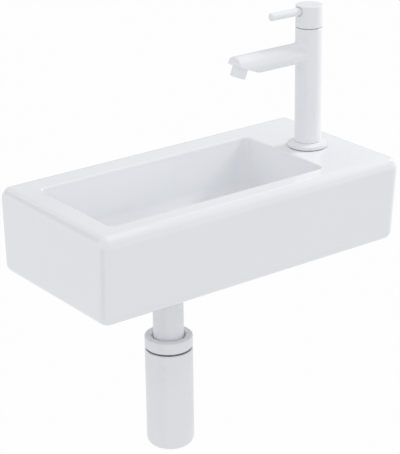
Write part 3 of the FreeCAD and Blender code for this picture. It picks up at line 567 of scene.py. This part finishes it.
def honeycomb_tree():
    """A round honeycomb: six-sided cells in staggered rows, trimmed to a circle, then tilted into place."""
    tree, given, result = new_tree(
        "Honeycomb", "GeometryNodeTree",
        [("Geometry", "NodeSocketGeometry", None), ("Place", "NodeSocketVector", None),
         ("Tilt", "NodeSocketFloat", 0.0), ("Radius", "NodeSocketFloat", 0.005),
         ("Cell", "NodeSocketFloat", 0.0015), ("Wall", "NodeSocketFloat", 0.0002),
         ("Depth", "NodeSocketFloat", 0.001), ("Rows", "NodeSocketInt", 9),
         ("Material", "NodeSocketMaterial", None)],
        [("Geometry", "NodeSocketGeometry")])

    def wall_along(curve, thickness):
        section = value_of(tree, "GeometryNodeCurvePrimitiveQuadrilateral", {
            "Width": thickness, "Height": given["Depth"]})
        return value_of(tree, "GeometryNodeCurveToMesh", {"Curve": curve, "Profile Curve": section})

    gaps = maths(tree, "SUBTRACT", given["Rows"], 1.0)
    width = maths(tree, "MULTIPLY", gaps, given["Cell"])
    depth = maths(tree, "MULTIPLY", width, ROW_SPACING)
    grid = value_of(tree, "GeometryNodeMeshGrid", {
        "Size X": width, "Size Y": depth, "Vertices X": given["Rows"], "Vertices Y": given["Rows"]},
        output="Mesh")
    # Even and odd rows move a quarter of a cell to either side.
    row = maths(tree, "MODULO", value_of(tree, "GeometryNodeInputIndex"), given["Rows"])
    side = maths(tree, "SUBTRACT", maths(tree, "MODULO", row, 2.0), 0.5)
    stagger = maths(tree, "MULTIPLY", side, maths(tree, "MULTIPLY", given["Cell"], 0.5))
    shift = value_of(tree, "ShaderNodeCombineXYZ", {"X": stagger})
    staggered = value_of(tree, "GeometryNodeSetPosition", {"Geometry": grid, "Offset": shift})
    place = value_of(tree, "GeometryNodeInputPosition")
    reach = value_of(tree, "ShaderNodeVectorMath", {0: place}, output="Value", operation="LENGTH")
    limit = maths(tree, "SUBTRACT", given["Radius"], maths(tree, "MULTIPLY", given["Cell"], EDGE_ROOM))
    kept = value_of(tree, "GeometryNodeDeleteGeometry", {
        "Geometry": staggered, "Selection": maths(tree, "GREATER_THAN", reach, limit)})
    corner = maths(tree, "DIVIDE", given["Cell"], CELL_FLATS)
    hexagon = value_of(tree, "GeometryNodeCurvePrimitiveCircle", {"Resolution": 6, "Radius": corner},
                       output="Curve")
    turned = value_of(tree, "GeometryNodeTransform", {
        "Geometry": hexagon, "Rotation": (0.0, 0.0, CELL_TURN)})
    cells = value_of(tree, "GeometryNodeInstanceOnPoints", {
        "Points": kept, "Instance": wall_along(turned, given["Wall"])})
    circle = value_of(tree, "GeometryNodeCurvePrimitiveCircle", {
        "Resolution": RIM_STEPS, "Radius": given["Radius"]}, output="Curve")
    rim = wall_along(circle, maths(tree, "MULTIPLY", given["Wall"], RIM_WALLS))
    real = join(tree, (given["Geometry"], cells, rim))
    lean = value_of(tree, "ShaderNodeCombineXYZ", {"Y": given["Tilt"]})
    placed = value_of(tree, "GeometryNodeTransform", {
        "Geometry": real, "Translation": given["Place"], "Rotation": lean})
    return end_tree(tree, flat_shaded(tree, placed), given["Material"], result)


def add_tree(piece, tree, values):
    """A Geometry Nodes modifier whose inputs are set by their identifiers."""
    modifier = piece.modifiers.new(tree.name, "NODES")
    modifier.node_group = tree
    for item in tree.interface.items_tree:
        if item.item_type == "SOCKET" and item.in_out == "INPUT" and item.name in values:
            modifier[item.identifier] = values[item.name]


def add_thread(piece, axis, start, end, root, depth, pitch, steps, finish):
    """A run of screw thread between two levels of an upright axis."""
    add_tree(piece, screw_thread_tree(), {
        "Start": (axis.x, axis.y, start + pitch / 2), "Root Radius": root, "Ridge Height": depth,
        "Pitch": pitch, "Length": end - start - pitch, "Steps": steps,
        "Material": finished_material(finish)})


def make_plain(piece):
    """Turns the result of a piece's modifiers into its plain mesh."""
    evaluated = piece.evaluated_get(bpy.context.evaluated_depsgraph_get())
    mesh = bpy.data.meshes.new_from_object(evaluated)
    piece.modifiers.clear()
    piece.data = mesh
    if not mesh.polygons:
        raise RuntimeError(f"{piece.name} came out empty")


class HANDBASIN_OT_glaze(bpy.types.Operator):
    """Glaze the basin"""
    bl_idname = "hand_basin.glaze"
    bl_label = "Glaze the basin"

    def execute(self, context):
        put_on("glaze", glaze_finish(context.scene.hand_basin.finish))
        return {"FINISHED"}


class HANDBASIN_OT_coat(bpy.types.Operator):
    """Coat the tap, the waste and the trap"""
    bl_idname = "hand_basin.coat"
    bl_label = "Coat the tap and the trap"

    def execute(self, context):
        put_on("white_coat", coat_finish(context.scene.hand_basin.finish))
        return {"FINISHED"}


class HANDBASIN_OT_metals(bpy.types.Operator):
    """Finish the bare brass and steel pieces"""
    bl_idname = "hand_basin.metals"
    bl_label = "Finish the bare metal"

    def execute(self, context):
        finish = context.scene.hand_basin.finish
        step = finish.turning_step
        put_on("brass", metal_finish("turned_brass", finish.brass, finish.brass_dull, step,
                                     smooth=0.2, rough=0.34))
        put_on("steel", metal_finish("plain_steel", finish.steel, shaded(finish.steel, factor=0.8), step,
                                     smooth=0.25, rough=0.4))
        return {"FINISHED"}


class HANDBASIN_OT_seals(bpy.types.Operator):
    """Finish the seals, the plastic pieces and the valve discs"""
    bl_idname = "hand_basin.seals"
    bl_label = "Finish seals and plastics"

    def execute(self, context):
        finish = context.scene.hand_basin.finish
        put_on("rubber", moulded_finish(
            "dark_rubber", finish.rubber, drift=1.6, grain_size=0.0006,
            smooth=0.55, rough=0.75, relief=0.2))
        put_on("white_plastic", moulded_finish(
            "white_plastic", finish.white_plastic, drift=0.94, grain_size=0.0008,
            smooth=0.35, rough=0.5, relief=0.12))
        put_on("grey_plastic", moulded_finish(
            "grey_plastic", finish.grey_plastic, drift=0.8, grain_size=0.0008,
            smooth=0.4, rough=0.55, relief=0.12))
        put_on("disc_ceramic", moulded_finish(
            "lapped_ceramic", finish.disc, drift=0.95, grain_size=0.0004,
            smooth=0.12, rough=0.22, relief=0.05))
        return {"FINISHED"}


class HANDBASIN_OT_tap_tail(bpy.types.Operator):
    """Cut the threads of the tap's tail"""
    bl_idname = "hand_basin.tap_tail"
    bl_label = "Thread the tap's tail"

    def execute(self, context):
        thread = context.scene.hand_basin.thread
        low, high = (corner.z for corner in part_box("tap_shank"))
        outer = mount_size("tap_supply", "r_mm")
        root = outer - thread.shank_depth
        bore = thread.shank_bore
        relief_low = low + mount_size("tap_supply", "length_mm")
        relief_high = relief_low + thread.relief_height
        bevel = thread.shank_depth / 2
        profile = [(bore + bevel, low), (root - bevel, low), (root, low + bevel), (root, high),
                   (bore, high), (bore, low + bevel)]
        mesh = turned_mesh("tap_tail_thread", TAP_AXIS, profile, thread.steps)
        piece = new_piece("tap_tail_thread", mesh)
        for start, end in ((low + bevel, relief_low), (relief_high, high)):
            add_thread(piece, TAP_AXIS, start, end, root, thread.shank_depth, thread.shank_pitch,
                       thread.steps, "turned_brass")
        make_plain(piece)
        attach(piece, "basin")
        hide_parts("tap_shank")
        return {"FINISHED"}


class HANDBASIN_OT_waste_tail(bpy.types.Operator):
    """Cut the thread that shows on the waste's tail between its two nuts"""
    bl_idname = "hand_basin.waste_tail"
    bl_label = "Thread the waste's tail"

    def execute(self, context):
        thread = context.scene.hand_basin.thread
        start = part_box("tail_union_nut")[1].z
        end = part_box("waste_backnut")[0].z
        root = (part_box("tail_union_gasket")[1].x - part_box("tail_union_gasket")[0].x) / 2
        piece = new_piece("waste_tail_thread", bpy.data.meshes.new("waste_tail_thread"))
        add_thread(piece, WASTE_AXIS, start, end, root, thread.waste_depth, thread.waste_pitch,
                   thread.steps, "white_coat")
        make_plain(piece)
        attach(piece, "basin")
        return {"FINISHED"}


class HANDBASIN_OT_honeycomb(bpy.types.Operator):
    """Set the honeycomb into the mouth of the nozzle"""
    bl_idname = "hand_basin.honeycomb"
    bl_label = "Set the nozzle's honeycomb"

    def execute(self, context):
        spray = context.scene.hand_basin.spray
        down = Vector((-math.sin(spray.tilt), 0.0, -math.cos(spray.tilt)))
        place = middle("aerator_cartridge") + down * (spray.height + spray.depth) / 2
        piece = new_piece("nozzle_honeycomb", bpy.data.meshes.new("nozzle_honeycomb"))
        add_tree(piece, honeycomb_tree(), {
            "Place": place, "Tilt": spray.tilt, "Radius": spray.radius, "Cell": spray.cell,
            "Wall": spray.wall, "Depth": spray.depth, "Rows": spray.rows,
            "Material": finished_material("white_plastic")})
        make_plain(piece)
        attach(piece, "basin")
        return {"FINISHED"}


def light_path_mix(tree, lit, seen, seen_share):
    """Lit for the light's own rays, and seen by the camera, in gloss and through glass."""
    path = add_node(tree, "ShaderNodeLightPath").outputs
    shown = maths(tree, "MAXIMUM", path["Is Camera Ray"], path["Is Glossy Ray"])
    shown = maths(tree, "MAXIMUM", shown, path["Is Transmission Ray"])
    factor = maths(tree, "MULTIPLY", shown, seen_share)
    return value_of(tree, "ShaderNodeMixShader", {0: factor, 1: lit, 2: seen})


def stage_material(name):
    """A material for the stage with an empty tree, and that tree."""
    material = bpy.data.materials.new(name)
    material.use_nodes = True
    material.node_tree.nodes.clear()
    return material, material.node_tree


def sheet_mesh(name, corners, material):
    """A flat sheet between four corners."""
    mesh = bpy.data.meshes.new(name)
    mesh.from_pydata(corners, [], [(0, 1, 2, 3)])
    mesh.materials.append(material)
    return mesh


def make_world(studio):
    """Even light from all round, with a plain white background."""
    world = bpy.data.worlds.new("white_room")
    world.use_nodes = True
    tree = world.node_tree
    tree.nodes.clear()
    lit = value_of(tree, "ShaderNodeBackground", {"Color": WHITE, "Strength": studio.sky})
    seen = value_of(tree, "ShaderNodeBackground", {"Color": WHITE, "Strength": 1.0})
    add_node(tree, "ShaderNodeOutputWorld", {"Surface": light_path_mix(tree, lit, seen, 1.0)})
    bpy.context.scene.world = world


def make_floor(studio):
    """A plain pale floor, mostly white to the camera, that keeps the shadow."""
    material, tree = stage_material("pale_floor")
    pale = value_of(tree, "ShaderNodeBsdfDiffuse", {"Color": PALE})
    white = value_of(tree, "ShaderNodeEmission", {"Color": WHITE, "Strength": 1.0})
    surface = light_path_mix(tree, pale, white, studio.floor_white)
    add_node(tree, "ShaderNodeOutputMaterial", {"Surface": surface})
    half = studio.floor_size / 2
    level = -studio.floor_drop
    corners = [(-half, -half, level), (half, -half, level), (half, half, level), (-half, half, level)]
    floor = new_piece("floor", sheet_mesh("floor", corners, material))


def make_card(name, low, high, tone):
    """An upright card between two corners that shows only in glossy surfaces, to mark their edges."""
    material, tree = stage_material(name)
    plain = value_of(tree, "ShaderNodeEmission", {"Color": (tone, tone, tone, 1.0), "Strength": 1.0})
    add_node(tree, "ShaderNodeOutputMaterial", {"Surface": plain})
    corners = [low, (high[0], high[1], low[2]), high, (low[0], low[1], high[2])]
    card = new_piece(name, sheet_mesh(name, corners, material))
    card.visible_camera = False
    card.visible_diffuse = False
    card.visible_shadow = False


def make_key(studio):
    """The key light: a small square lamp to the right that points at the middle of the basin."""
    lamp = bpy.data.lights.new("key_lamp", "AREA")
    lamp.size = studio.key_size
    lamp.energy = studio.key_power
    holder = new_piece("key_lamp", lamp)
    holder.location = studio.key_place
    holder.rotation_euler = (middle("basin") - holder.location).to_track_quat("-Z", "Y").to_euler()


def make_camera(studio):
    """The camera of the photograph: yaw from the wall's normal, then pitch, then roll."""
    data = bpy.data.cameras.new("camera")
    data.lens = studio.camera_lens
    camera = new_piece("camera", data)
    yaw = Matrix.Rotation(-studio.camera_yaw, 4, "Z")
    pitch = Matrix.Rotation(math.pi / 2 - studio.camera_pitch, 4, "X")
    roll = Matrix.Rotation(studio.camera_roll, 4, "Z")
    camera.matrix_world = Matrix.Translation(studio.camera_place) @ yaw @ pitch @ roll
    bpy.context.scene.camera = camera


class HANDBASIN_OT_studio(bpy.types.Operator):
    """Set up the floor, the light and the camera"""
    bl_idname = "hand_basin.studio"
    bl_label = "Set up the studio"

    def execute(self, context):
        studio = context.scene.hand_basin.studio
        make_world(studio)
        make_floor(studio)
        make_card("back_card", studio.back_card_low, studio.back_card_high, studio.back_card_tone)
        make_card("line_card", studio.line_card_low, studio.line_card_high, studio.line_card_tone)
        make_card("left_card", studio.left_card_low, studio.left_card_high, studio.left_card_tone)
        make_card("right_card", studio.right_card_low, studio.right_card_high, studio.right_card_tone)
        make_key(studio)
        make_camera(studio)
        context.scene.view_settings.view_transform = "Standard"
        return {"FINISHED"}


STEPS = (
    HANDBASIN_OT_glaze, HANDBASIN_OT_coat, HANDBASIN_OT_metals, HANDBASIN_OT_seals,
    HANDBASIN_OT_tap_tail, HANDBASIN_OT_waste_tail, HANDBASIN_OT_honeycomb, HANDBASIN_OT_studio,
)


class HANDBASIN_PT_sidebar(bpy.types.Panel):
    """Settings and steps of the hand basin"""
    bl_idname = "HANDBASIN_PT_sidebar"
    bl_label = "Hand basin"
    bl_space_type = "VIEW_3D"
    bl_region_type = "UI"
    bl_category = "Hand basin"

    def draw(self, context):
        settings = context.scene.hand_basin
        for group in (settings.finish, settings.thread, settings.spray, settings.studio):
            box = self.layout.box()
            for name in group.bl_rna.properties.keys():
                if name not in {"rna_type", "name"}:
                    box.prop(group, name)
        for step in STEPS:
            self.layout.operator(step.bl_idname)


CLASSES = (
    FinishSettings, ThreadSettings, SpraySettings, StudioSettings, HandBasinSettings,
    *STEPS, HANDBASIN_PT_sidebar,
)


def register():
    for made in CLASSES:
        bpy.utils.register_class(made)
    bpy.types.Scene.hand_basin = PointerProperty(type=HandBasinSettings)


def unregister():
    del bpy.types.Scene.hand_basin
    for made in reversed(CLASSES):
        bpy.utils.unregister_class(made)


def main():
    register()
    bpy.ops.hand_basin.glaze()
    bpy.ops.hand_basin.coat()
    bpy.ops.hand_basin.metals()
    bpy.ops.hand_basin.seals()
    bpy.ops.hand_basin.tap_tail()
    bpy.ops.hand_basin.waste_tail()
    bpy.ops.hand_basin.honeycomb()
    bpy.ops.hand_basin.studio()


if __name__ == "__main__":
    main()
